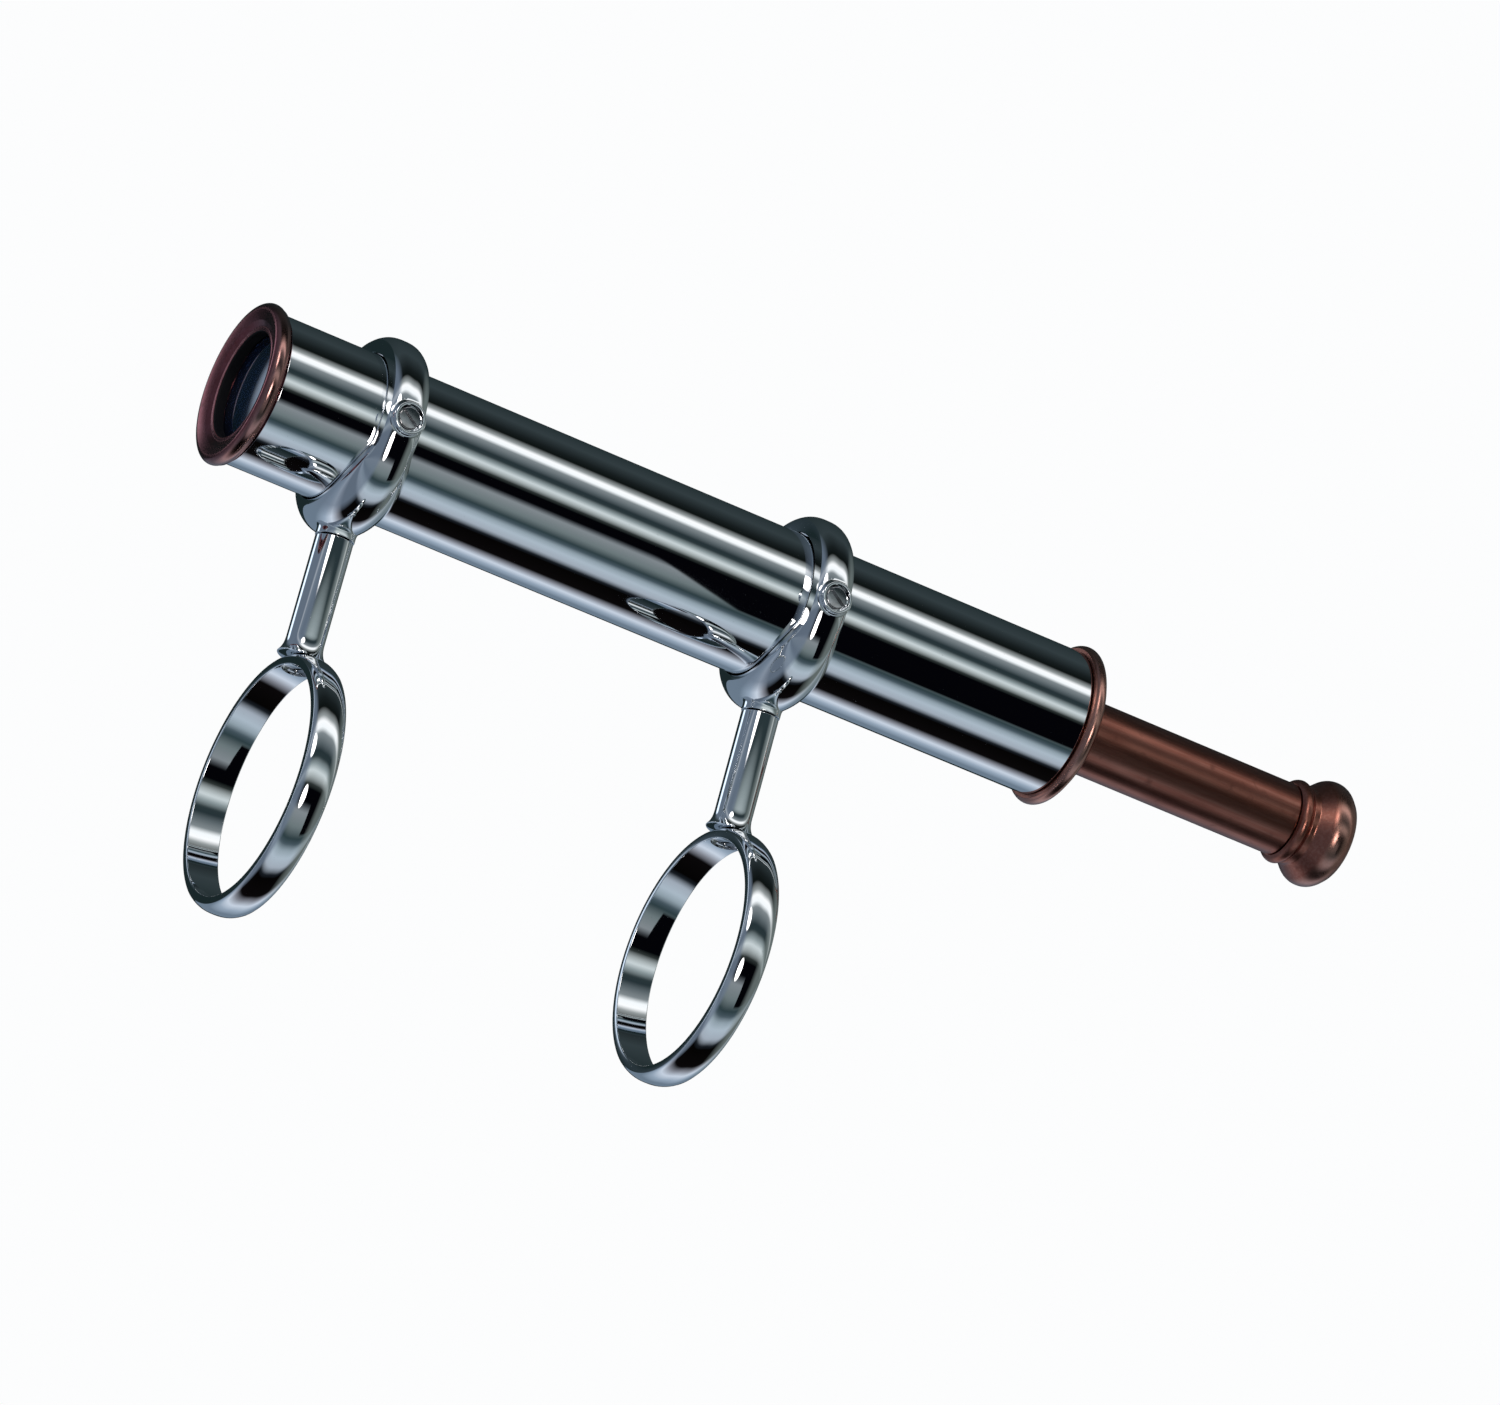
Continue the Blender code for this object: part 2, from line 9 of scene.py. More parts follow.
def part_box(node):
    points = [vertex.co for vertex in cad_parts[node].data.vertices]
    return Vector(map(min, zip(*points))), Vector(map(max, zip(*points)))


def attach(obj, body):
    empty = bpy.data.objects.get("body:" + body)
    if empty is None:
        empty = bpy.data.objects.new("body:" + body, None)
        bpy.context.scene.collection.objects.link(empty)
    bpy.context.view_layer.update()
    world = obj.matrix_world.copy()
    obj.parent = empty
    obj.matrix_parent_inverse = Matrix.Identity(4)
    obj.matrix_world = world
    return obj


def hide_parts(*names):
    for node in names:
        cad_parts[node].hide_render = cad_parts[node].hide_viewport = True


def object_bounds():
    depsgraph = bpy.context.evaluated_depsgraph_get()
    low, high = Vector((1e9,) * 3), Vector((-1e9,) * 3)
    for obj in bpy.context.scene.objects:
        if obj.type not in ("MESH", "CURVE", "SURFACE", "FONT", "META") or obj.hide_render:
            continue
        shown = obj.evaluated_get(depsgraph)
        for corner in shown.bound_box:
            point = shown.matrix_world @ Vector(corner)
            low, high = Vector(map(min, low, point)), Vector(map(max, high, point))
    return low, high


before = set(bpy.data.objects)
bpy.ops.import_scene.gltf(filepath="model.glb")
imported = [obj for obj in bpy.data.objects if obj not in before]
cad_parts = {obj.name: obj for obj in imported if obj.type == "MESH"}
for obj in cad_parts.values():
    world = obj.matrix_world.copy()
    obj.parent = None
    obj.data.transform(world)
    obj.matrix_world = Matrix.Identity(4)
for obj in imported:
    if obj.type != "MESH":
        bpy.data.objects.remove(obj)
cad_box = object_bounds()

MM = 0.001
GAP = 0.3 * MM  # clearance between parts that slide, turn or screw together

# The frame: +X runs from the objective to the eyepiece, +Z from the main tube's axis to the finder's.
# Sizes that the frame fixes are read from its boxes. Stations run back from the objective's opening.


def radius_of(node):
    """Outer radius of a CAD node that lies along X."""
    low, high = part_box(node)
    return (high.z - low.z) / 2


tube_low, tube_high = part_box("body_tube")
band_low, band_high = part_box("front_band")
post_low, post_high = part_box("front_post")
ring_low, ring_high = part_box("front_ring")
clamp_low, clamp_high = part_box("front_clamp_screw")
pad_low, pad_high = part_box("front_clamp_pad")
draw_low, draw_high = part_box("draw_tube")
rear_cap_low, rear_cap_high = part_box("rear_end_cap")
cell_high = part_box("objective_cell")[1]
eye_cap_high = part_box("eyepiece_cap")[1]

TUBE_RADIUS = radius_of("body_tube")
TUBE_BORE = TUBE_RADIUS - 1.2 * MM
SPIGOT_RADIUS = TUBE_BORE - GAP
TUBE_FRONT = 2.3 * MM
TUBE_REAR = TUBE_FRONT + tube_high.x - tube_low.x
FINDER_HEIGHT = (tube_high.z + tube_low.z) / 2
OBJECTIVE_X = tube_low.x - TUBE_FRONT
STATIONS = {"front": (band_low.x + band_high.x) / 2, "rear": -(band_low.x + band_high.x) / 2}

BAND_BORE = 25.8 * MM
BAND_CROWN = band_high.z
BAND_HALF_WIDTH = (band_high.x - band_low.x) / 2
RING_BORE = TUBE_RADIUS + GAP
RING_CROWN = ring_high.z - FINDER_HEIGHT
RING_HALF_WIDTH = 4.1 * MM
SHOE_HALF_WIDTH = (ring_high.x - ring_low.x) / 2
SHOE_CROWN = 23.0 * MM
SHOE_REACH = 72  # degrees round the ring on each side of the post
NECK_BOTTOM = FINDER_HEIGHT - post_high.z - GAP
INSIDE_RING = 18.5 * MM  # where the boss and the neck start, inside the ring's metal
POST_RADIUS = 4.15 * MM
POST_FOOT_RADIUS = (post_high.x - post_low.x) / 2

HEAD_RECESS = 0.4 * MM  # depth of every screw head below the metal round it
SCREW_RADIUS = (pad_high.x - pad_low.x) / 2
SCREW_HEAD_RADIUS = 3.0 * MM
SCREW_SLOT = (0.8 * MM, 8 * MM, 1.4 * MM)
BOSS_RADIUS = 3.6 * MM
BOSS_BORE = 2.9 * MM
BOSS_REACH = HEAD_RECESS - clamp_low.y
CLAMP_HEAD_RADIUS = (clamp_high.x - clamp_low.x) / 2
CLAMP_HEAD_DEPTH = 1.4 * MM
PAD_DEPTH = pad_high.y - pad_low.y

LIP_RADIUS = 18.2 * MM
CLEAR_RADIUS = 11.9 * MM
CELL_REAR = cell_high.x - OBJECTIVE_X
LENS_SEAT = 2.2 * MM
LENS_RADIUS = radius_of("objective_crown_lens")
RIM_RADIUS = radius_of("rear_end_cap")
CAP_FRONT = rear_cap_low.x - OBJECTIVE_X
CAP_REAR = rear_cap_high.x - OBJECTIVE_X
DRAW_RADIUS = radius_of("draw_tube")
DRAW_FRONT = draw_low.x - OBJECTIVE_X
DRAW_REAR = draw_high.x - OBJECTIVE_X
EYE_FLANGE_RADIUS = radius_of("eyepiece_cap")
EYE_REAR = eye_cap_high.x - OBJECTIVE_X
EYE_LENS_RADIUS = radius_of("eye_lens")

AROUND_TUBE = 192  # segments round the widest turned pieces
AROUND = 160
AROUND_SLIM = 144
AROUND_SMALL = 72


# ---------------------------------------------------------------- mesh helpers


def fractions(steps):
    """Evenly spaced values from 0 to 1."""
    return [k / steps for k in range(steps + 1)]


def rounded(corners, closed=True, steps=5):
    """Turn (r, h, fillet) corners into a profile whose corners are arcs."""
    points = []
    count = len(corners)
    for i, (r, h, fillet) in enumerate(corners):
        here = Vector((r, h))
        if fillet <= 0 or (not closed and i in (0, count - 1)):
            points.append((r, h))
            continue
        before = Vector(corners[i - 1][:2]) - here
        after = Vector(corners[(i + 1) % count][:2]) - here
        half = before.angle(after) / 2
        reach = min(fillet / math.tan(half), before.length * 0.49, after.length * 0.49)
        radius = reach * math.tan(half)
        middle = (before.normalized() + after.normalized()).normalized()
        centre = here + middle * (radius / math.sin(half))
        start = here + before.normalized() * reach - centre
        turn = start.angle_signed(here + after.normalized() * reach - centre)
        for k in range(steps + 1):
            angle = -turn * k / steps
            c, s = math.cos(angle), math.sin(angle)
            points.append((centre.x + c * start.x - s * start.y, centre.y + s * start.x + c * start.y))
    return points


def arc(centre_r, centre_h, radius, start_deg, end_deg, steps):
    """Corners without fillets on a circular arc."""
    corners = []
    for i in range(steps + 1):
        angle = math.radians(start_deg + (end_deg - start_deg) * i / steps)
        corners.append((centre_r + radius * math.cos(angle), centre_h + radius * math.sin(angle), 0))
    return corners


def place(axis, origin, r, h, angle):
    """World point of a turned piece's (radius, height) point at an angle round its axis."""
    c, s = r * math.cos(angle), r * math.sin(angle)
    offset = {"X": (h, c, s), "-Y": (c, -h, s), "Z": (c, s, h)}[axis]
    return Vector(origin) + Vector(offset)


def finish_mesh(bm, name, sharp_deg=38):
    """Weld, face outwards, shade smooth and put the mesh in the scene."""
    bmesh.ops.remove_doubles(bm, verts=bm.verts, dist=1e-7)
    bmesh.ops.recalc_face_normals(bm, faces=bm.faces)
    mesh = bpy.data.meshes.new(name)
    bm.to_mesh(mesh)
    bm.free()
    mesh.shade_smooth()
    mesh.set_sharp_from_angle(angle=math.radians(sharp_deg))
    obj = bpy.data.objects.new(name, mesh)
    bpy.context.scene.collection.objects.link(obj)
    return obj


def turned(name, profile, axis, origin, around=AROUND, closed=True, sharp_deg=38):
    """Turn a profile; a closed loop makes a ring, an open one runs from axis to axis."""
    bm = bmesh.new()
    rows = []
    for r, h in profile:
        if r < 1e-9:
            rows.append([bm.verts.new(place(axis, origin, 0.0, h, 0.0))] * around)
        else:
            angles = [2 * math.pi * k / around for k in range(around)]
            rows.append([bm.verts.new(place(axis, origin, r, h, angle)) for angle in angles])
    pairs = list(zip(rows, rows[1:])) + ([(rows[-1], rows[0])] if closed else [])
    for low, high in pairs:
        for k in range(around):
            n = (k + 1) % around
            corners = []
            for vert in (low[k], low[n], high[n], high[k]):
                if vert not in corners:
                    corners.append(vert)
            if len(corners) > 2:
                bm.faces.new(corners)
    return finish_mesh(bm, name, sharp_deg)


def turned_solid(name, corners, axis, origin):
    """Turn rounded corners, which start and end on the axis, into a small solid."""
    return turned(name, rounded(corners, closed=False), axis, origin, AROUND_SMALL, closed=False)


def cut(obj, *tools, operation="DIFFERENCE"):
    """Apply exact Booleans with the tools, which are then removed."""
    for tool in tools:
        modifier = obj.modifiers.new("cut", "BOOLEAN")
        modifier.operation = operation
        modifier.solver = "EXACT"
        modifier.object = tool
    bpy.context.view_layer.update()
    graph = bpy.context.evaluated_depsgraph_get()
    mesh = bpy.data.meshes.new_from_object(obj.evaluated_get(graph))
    obj.modifiers.clear()
    obj.data = mesh
    mesh.shade_smooth()
    mesh.set_sharp_from_angle(angle=math.radians(38))
    for tool in tools:
        bpy.data.objects.remove(tool, do_unlink=True)
    return obj


def box_tool(centre, size, turn=(0.0, 0.0, 0.0)):
    """Box used as a cutting tool."""
    bm = bmesh.new()
    bmesh.ops.create_cube(bm, size=1.0)
    bmesh.ops.scale(bm, vec=size, verts=bm.verts)
    obj = finish_mesh(bm, "tool")
    obj.location = centre
    obj.rotation_euler = turn
    return obj


# ---------------------------------------------------------------- materials


class Graph:
    """Short ways to add nodes to a node tree."""

    def __init__(self, tree):
        self.tree = tree

    def add(self, kind, inputs=(), **settings):
        """Add a node, set its properties, and link or set its inputs."""
        node = self.tree.nodes.new("ShaderNode" + kind)
        for key, value in settings.items():
            setattr(node, key, value)
        for key, value in dict(inputs).items():
            if isinstance(value, bpy.types.NodeSocket):
                self.tree.links.new(value, node.inputs[key])
            else:
                node.inputs[key].default_value = value
        return node

    def math(self, operation, a, b=0.0):
        """Calculate with one or two values."""
        return self.add("Math", {0: a, 1: b}, operation=operation).outputs[0]

    def between(self, value, low, high, start=0.0, end=1.0, kind="LINEAR"):
        """Map value from low..high to start..end, clamped."""
        inputs = {"Value": value, "From Min": low, "From Max": high, "To Min": start, "To Max": end}
        return self.add("MapRange", inputs, interpolation_type=kind).outputs["Result"]

    def mix(self, factor, a, b):
        """Mix two colours."""
        node = self.add("Mix", {0: factor}, data_type="RGBA")
        for index, value in ((6, a), (7, b)):
            if isinstance(value, bpy.types.NodeSocket):
                self.tree.links.new(value, node.inputs[index])
            else:
                node.inputs[index].default_value = (*value, 1.0)
        return node.outputs[2]


class Nodes(Graph):
    """A Principled material and the patterns it needs."""

    def __init__(self, name, roughness, metallic):
        self.material = bpy.data.materials.new(name)
        self.material.use_nodes = True
        super().__init__(self.material.node_tree)
        self.shader = self.tree.nodes["Principled BSDF"]
        self.shader.inputs["Metallic"].default_value = metallic
        self.shader.inputs["Roughness"].default_value = roughness

    def position(self, origin=(0, 0, 0), scale=(1, 1, 1)):
        """Object position, moved to origin and scaled."""
        coords = self.add("TexCoord").outputs["Object"]
        moved = self.add("VectorMath", {0: coords, 1: origin}, operation="SUBTRACT").outputs[0]
        return self.add("VectorMath", {0: moved, 1: scale}, operation="MULTIPLY").outputs[0]

    def noise(self, vector, scale, detail=3.0, distortion=0.0):
        """Noise value from 0 to 1."""
        inputs = {"Vector": vector, "Scale": scale, "Detail": detail, "Distortion": distortion}
        return self.add("TexNoise", inputs).outputs["Fac"]

    def bump(self, height, distance, strength=1.0, below=None):
        """Bump normal from a height."""
        inputs = {"Height": height, "Distance": distance, "Strength": strength}
        if below is not None:
            inputs["Normal"] = below
        return self.add("Bump", inputs).outputs["Normal"]

    def out(self, **links):
        """Link values to the shader's inputs; underscores stand for spaces."""
        for key, value in links.items():
            self.tree.links.new(value, self.shader.inputs[key.replace("_", " ")])
        return self.material


def radius_from_axis(nodes, height):
    """Distance from the line parallel to X at this height."""
    moved = nodes.position((0, 0, height), (0, 1, 1))
    return nodes.add("VectorMath", {0: moved}, operation="LENGTH").outputs["Value"]


def chrome_material(name, along=(0.15, 1.0, 1.0)):
    """Mirror chrome with faint haze, wipe marks and pin-prick specks."""
    n = Nodes(name, 0.05, 1.0)
    p = n.position(scale=along)
    haze = n.noise(p, 90.0, 4.0, 0.4)
    wipe = n.noise(n.position(scale=(along[0] * 0.3, 1, 1)), 900.0, 5.0)
    speck = n.between(n.noise(n.position(), 2600.0, 2.0), 0.73, 0.80)
    colour = n.mix(haze, (0.80, 0.82, 0.85), (0.88, 0.89, 0.90))
    colour = n.mix(n.math("MULTIPLY", speck, 0.5), colour, (0.42, 0.40, 0.38))
    rough = n.math("ADD", n.between(haze, 0.3, 0.8, 0.018, 0.042), n.math("MULTIPLY", speck, 0.25))
    rough = n.math("ADD", rough, n.between(wipe, 0.62, 0.8, 0.0, 0.03))
    normal = n.bump(haze, 0.00002, 0.35)
    normal = n.bump(wipe, 0.000002, 0.4, normal)
    return n.out(Base_Color=colour, Roughness=rough, Normal=normal)


def copper_material(name, edge_radius, along=(1, 1, 1), black_radius=0.0, tone=(1, 1, 1), satin=1.0):
    """Dark antique copper: maroon satin with drawn streaks, paler at the rim, where wear and a painted
    highlight lie.

    Inside black_radius it is blackened; tone tints its colours and satin scales its roughness.
    """

    def toned(*colour):
        return tuple(value * level for value, level in zip(colour, tone))

    n = Nodes(name, 0.34, 1.0)
    cloud = n.noise(n.position(), 70.0, 3.0, 0.3)
    streak = n.noise(n.position(scale=along), 1500.0, 3.0)
    stain = n.between(n.noise(n.position(), 260.0, 5.0, 0.8), 0.58, 0.75)
    radius = radius_from_axis(n, FINDER_HEIGHT)
    worn_and_highlit_rim = n.between(radius, edge_radius * 0.94, edge_radius)
    colour = n.mix(n.between(cloud, 0.3, 0.7), toned(0.320, 0.110, 0.078), toned(0.410, 0.155, 0.112))
    colour = n.mix(n.between(streak, 0.42, 0.70, 0.0, 0.45), colour, toned(0.52, 0.240, 0.185))
    colour = n.mix(n.math("MULTIPLY", stain, 0.35), colour, (0.130, 0.050, 0.040))
    # Paler rim: worn copper together with a painted highlight along the outer edge.
    colour = n.mix(n.math("MULTIPLY", worn_and_highlit_rim, 0.45), colour, (0.76, 0.47, 0.40))
    rough = n.between(cloud, 0.3, 0.7, 0.36 * satin, 0.30 * satin)
    rough = n.math("ADD", rough, n.math("MULTIPLY", stain, 0.08))
    rough = n.math("SUBTRACT", rough, n.math("MULTIPLY", worn_and_highlit_rim, 0.06))
    normal = n.bump(streak, 0.000004, 0.4)
    links = {"Base_Color": colour, "Roughness": rough, "Normal": normal}
    if black_radius:
        inside = n.between(radius, black_radius, black_radius + 0.1 * MM, 1.0, 0.0)
        links["Base_Color"] = n.mix(inside, colour, (0.003, 0.003, 0.004))
        links["Specular_IOR_Level"] = n.between(inside, 0.0, 1.0, 0.5, 0.15)
        links["Roughness"] = n.math("ADD", rough, n.math("MULTIPLY", inside, 0.35))
        links["Metallic"] = n.math("SUBTRACT", 1.0, inside)
    return n.out(**links)


def machined_material(name, light, dark, roughness, pitch):
    """Lathe-turned metal with fine rings round the optical axis and small stains."""
    n = Nodes(name, roughness, 1.0)
    radius = radius_from_axis(n, FINDER_HEIGHT)
    rings = n.math("SINE", n.math("MULTIPLY", radius, 2 * math.pi / pitch))
    stain = n.noise(n.position(), 500.0, 5.0, 0.5)
    grain = n.noise(n.position(scale=(3, 1, 1)), 2500.0, 2.0)
    colour = n.mix(n.between(stain, 0.35, 0.7), light, dark)
    rough = n.between(grain, 0.3, 0.7, roughness * 0.8, roughness * 1.3)
    normal = n.bump(rings, 0.000002, 0.3)
    normal = n.bump(grain, 0.000005, 0.3, normal)
    return n.out(Base_Color=colour, Roughness=rough, Normal=normal)


def black_material(name):
    """Matt black anodised metal, slightly dusty."""
    n = Nodes(name, 0.6, 0.0)
    grain = n.noise(n.position(), 3000.0, 3.0)
    dust = n.between(n.noise(n.position(), 300.0, 5.0, 0.8), 0.5, 0.8)
    colour = n.mix(dust, (0.010, 0.010, 0.012), (0.035, 0.035, 0.038))
    rough = n.between(grain, 0.3, 0.7, 0.5, 0.75)
    return n.out(Base_Color=colour, Roughness=rough, Normal=n.bump(grain, 0.00001, 0.4))


def nylon_material(name):
    """Natural nylon with mould grain."""
    n = Nodes(name, 0.45, 0.0)
    grain = n.noise(n.position(), 2200.0, 3.0)
    tint = n.noise(n.position(), 700.0, 3.0)
    colour = n.mix(tint, (0.78, 0.75, 0.66), (0.88, 0.86, 0.79))
    return n.out(Base_Color=colour, Roughness=n.between(grain, 0.3, 0.7, 0.38, 0.55),
                 Normal=n.bump(grain, 0.00001, 0.5))


def glass_material(name, tint, edge, rim, clear):
    """Coated lens: deep blue bloom, darker towards the rim, faint cleaning marks."""
    n = Nodes(name, 0.02, 0.0)
    n.shader.inputs["Transmission Weight"].default_value = clear
    n.shader.inputs["IOR"].default_value = 1.55
    n.shader.inputs["Coat Weight"].default_value = 0.5
    n.shader.inputs["Coat Roughness"].default_value = 0.02
    n.shader.inputs["Coat IOR"].default_value = 1.7
    n.shader.inputs["Specular Tint"].default_value = (0.50, 0.66, 1.0, 1.0)
    radius = radius_from_axis(n, FINDER_HEIGHT)
    colour = n.mix(n.between(radius, rim * 0.35, rim), tint, edge)
    smear = n.noise(n.position(scale=(1, 1, 0.3)), 420.0, 4.0, 0.8)
    return n.out(Base_Color=colour, Roughness=n.between(smear, 0.5, 0.8, 0.015, 0.05))


# ---------------------------------------------------------------- pieces


def dress(piece, material, body, slot, *nodes):
    """Give a piece its material and body, and hide the CAD nodes that it stands for."""
    piece.data.materials.clear()
    piece.data.materials.append(material)
    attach(piece, body)
    if nodes:
        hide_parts(*nodes)
    return piece


def countersunk_screw(name, origin, up, length):
    """Slotted countersunk screw; its flat face looks along +Z or -Z."""
    cone = SCREW_HEAD_RADIUS - SCREW_RADIUS
    corners = [(0, 0, 0), (SCREW_HEAD_RADIUS, 0, 0.15 * MM), (SCREW_RADIUS, -cone, 0.3 * MM)]
    corners += [(SCREW_RADIUS, -length + 0.4 * MM, 0.1 * MM), (1.1 * MM, -length, 0.05 * MM)]
    corners += [(0, -length, 0)]
    outline = [(r, h * up) for r, h in rounded(corners, closed=False, steps=4)]
    screw = turned(name, outline, "Z", origin, AROUND_SMALL, closed=False)
    return cut(screw, box_tool(origin, SCREW_SLOT, (0, 0, 0.35)))


def countersunk_tool(origin, up, above, below, around):
    """Cutting tool for a countersunk hole; its wide end looks along +Z or -Z."""
    wide = SCREW_HEAD_RADIUS + GAP
    narrow = SCREW_RADIUS + GAP
    outline = [(0, above), (wide, above), (wide, 0), (narrow, narrow - wide), (narrow, -below), (0, -below)]
    return turned("tool", [(r, h * up) for r, h in outline], "Z", origin, around, closed=False)


def make_band(side, x, chrome, steel):
    """Crowned band with softened edges and a countersunk hole inside for the post's screw."""
    half = BAND_HALF_WIDTH
    shoulder = BAND_CROWN - 1.3 * MM
    corners = [(BAND_BORE, -half, 0.25 * MM), (shoulder, -half, 0.3 * MM)]
    for t in fractions(16):
        u = 2 * t - 1
        corners.append((BAND_CROWN - 0.9 * MM * abs(u) ** 2.6, u * (half - 0.35 * MM), 0))
    corners += [(shoulder, half, 0.3 * MM), (BAND_BORE, half, 0.25 * MM)]
    band = turned(side + "_band_round", rounded(corners), "X", (x, 0, 0))
    head = (x, 0, BAND_BORE + HEAD_RECESS)
    cut(band, countersunk_tool(head, -1, 2 * MM, 5 * MM, AROUND_SMALL + 1))
    dress(band, chrome, "bracket", "chrome", side + "_band")
    screw = countersunk_screw(side + "_band_slotted_screw", head, -1, 10 * MM)
    dress(screw, steel, "bracket", "steel", side + "_band_screw")


def make_post(side, x, chrome):
    """Post whose flared foot sits on the band's curve."""
    foot = BAND_CROWN + GAP
    sole = foot - 0.1 * MM
    flare = POST_FOOT_RADIUS - POST_RADIUS
    flare_height = 4.0 * MM
    corners = [(0, post_high.z, 0), (POST_RADIUS, post_high.z, 0.15 * MM)]
    for t in fractions(14):
        corners.append((POST_RADIUS + flare * t**3, foot + flare_height * (1 - t), 0))
    corners += [(POST_FOOT_RADIUS - 0.2 * MM, sole, 0), (0, sole, 0)]
    post = turned_solid(side + "_post_round", corners, "Z", (x, 0, 0))
    for vert in post.data.vertices:
        drop = foot - math.sqrt(foot**2 - vert.co.y**2)
        weight = max(0.0, 1 - (vert.co.z - sole) / flare_height)
        vert.co.z -= drop * min(1.0, weight)
    dress(post, chrome, "bracket", "chrome", side + "_post")


def ring_section(swell):
    """Rounded (r, x) section of the ring: square-shouldered on top, wide and domed at the shoe."""
    half = RING_HALF_WIDTH + (SHOE_HALF_WIDTH - RING_HALF_WIDTH) * swell
    crown = RING_CROWN + (SHOE_CROWN - RING_CROWN) * swell
    edge = RING_CROWN - 1.5 * MM - 2.2 * MM * swell
    power = 2.9 - 0.6 * swell
    blunt = 1 - 0.17 * swell
    corners = [(RING_BORE, -half, 0.25 * MM)]
    for t in fractions(30):
        u = math.sin(math.pi / 2 * (2 * t - 1))
        corners.append((edge + (crown - edge) * (1 - abs(u) ** power) ** blunt, half * u, 0))
    corners.append((RING_BORE, half, 0.25 * MM))
    return rounded(corners)


def ring_loft(origin, around=216):
    """Ring whose underside swells into the shoe above the post, in one closed loft."""
    bm = bmesh.new()
    rows = []
    for k in range(around):
        angle = 2 * math.pi * k / around
        from_bottom = abs(math.degrees(math.remainder(angle + math.pi / 2, 2 * math.pi)))
        swell = max(0.0, 1 - (from_bottom / SHOE_REACH) ** 4) ** 1.5
        section = ring_section(swell)
        rows.append([bm.verts.new(place("X", origin, r, h, angle)) for r, h in section])
    for low, high in zip(rows, rows[1:] + rows[:1]):
        for k in range(len(low)):
            n = (k + 1) % len(low)
            bm.faces.new((low[k], low[n], high[n], high[k]))
    return finish_mesh(bm, "ring")


def ring_boss(axis_point):
    """Boss for the clamp screw, flared into the ring."""
    pocket = BOSS_REACH - HEAD_RECESS - CLAMP_HEAD_DEPTH - GAP
    corners = [(0, INSIDE_RING, 0)]
    for t in fractions(8):
        flare = 0.6 * MM * (1 - t) ** 3
        corners.append((BOSS_RADIUS + flare, RING_CROWN - 0.5 * MM + 0.8 * MM * t, 0))
    corners += [(BOSS_RADIUS, BOSS_REACH, 0.4 * MM), (BOSS_BORE, BOSS_REACH, 0.12 * MM)]
    corners += [(BOSS_BORE, pocket, 0), (0, pocket, 0)]
    return turned_solid("boss", corners, "-Y", axis_point)


def ring_neck(axis_point):
    """Neck that meets the post, flared into the shoe."""
    radius = POST_RADIUS + 0.15 * MM
    flare = 0.9 * MM
    corners = [(0, -INSIDE_RING, 0), (radius + flare, -20.4 * MM, 0)]
    for t in fractions(10):
        corners.append((radius + flare * (1 - t) ** 2.5, -20.6 * MM - 2.2 * MM * t, 0))
    corners += [(radius, -NECK_BOTTOM, 0.15 * MM), (0, -NECK_BOTTOM, 0)]
    return turned_solid("neck", corners, "Z", axis_point)


def make_ring(side, x, chrome, steel):
    """Clamp ring casting with its neck and boss, and the screw into the post."""
    axis_point = (x, 0, FINDER_HEIGHT)
    ring = ring_loft(axis_point)
    cut(ring, ring_boss(axis_point), ring_neck(axis_point), operation="UNION")
    narrow = SCREW_RADIUS + GAP
    hole = [(0, 15 * MM), (narrow, 15 * MM), (narrow, 23 * MM), (0, 23 * MM)]
    clamp_tool = turned("tool", hole, "-Y", axis_point, AROUND_SMALL - 1, closed=False)
    head = (x, 0, FINDER_HEIGHT - RING_BORE - HEAD_RECESS)
    cut(ring, clamp_tool, countersunk_tool(head, 1, 4 * MM, 10 * MM, AROUND_SMALL - 1))
    ring.name = side + "_ring_casting"
    ring.data.name = ring.name
    dress(ring, chrome, "bracket", "chrome", side + "_ring")
    screw = countersunk_screw(side + "_ring_slotted_screw", head, 1, 15 * MM)
    dress(screw, steel, "bracket", "steel", side + "_ring_screw")


def make_clamp(side, x, steel, nylon):
    """Slotted clamp screw in the boss, and its pad on the tube."""
    axis_point = (x, 0, FINDER_HEIGHT)
    head_top = BOSS_REACH - HEAD_RECESS
    head_low = head_top - CLAMP_HEAD_DEPTH
    pad_top = RING_BORE + PAD_DEPTH
    tip = pad_top + GAP
    corners = [(0, head_top, 0), (CLAMP_HEAD_RADIUS, head_top, 0.35 * MM)]
    corners += [(CLAMP_HEAD_RADIUS, head_low, 0.15 * MM), (SCREW_RADIUS, head_low, 0.1 * MM)]
    corners += [(SCREW_RADIUS, tip, 0.2 * MM), (0, tip, 0)]
    screw = turned_solid(side + "_clamp_slotted_screw", corners, "-Y", axis_point)
    slot_size = (SCREW_SLOT[1], SCREW_SLOT[2], SCREW_SLOT[0])
    cut(screw, box_tool((x, -head_top, FINDER_HEIGHT), slot_size, (0, 0.6, 0)))
    dress(screw, steel, side + "_clamp", "steel", side + "_clamp_screw")
    corners = [(0, pad_top, 0), (SCREW_RADIUS, pad_top, 0.15 * MM)]
    corners += [(SCREW_RADIUS, RING_BORE, 0.15 * MM), (0, RING_BORE, 0)]
    pad = turned_solid(side + "_clamp_soft_pad", corners, "-Y", axis_point)
    dress(pad, nylon, "bracket", "nylon", side + "_clamp_pad")


def make_tube(origin, chrome):
    """Polished body tube with softened ends."""
    corners = [(TUBE_BORE, TUBE_FRONT, 0.1 * MM), (TUBE_RADIUS, TUBE_FRONT, 0.25 * MM)]
    corners += [(TUBE_RADIUS, TUBE_REAR, 0.25 * MM), (TUBE_BORE, TUBE_REAR, 0.1 * MM)]
    tube = turned("tube_polished", rounded(corners), "X", origin, AROUND_TUBE)
    dress(tube, chrome, "scope", "chrome", "body_tube")


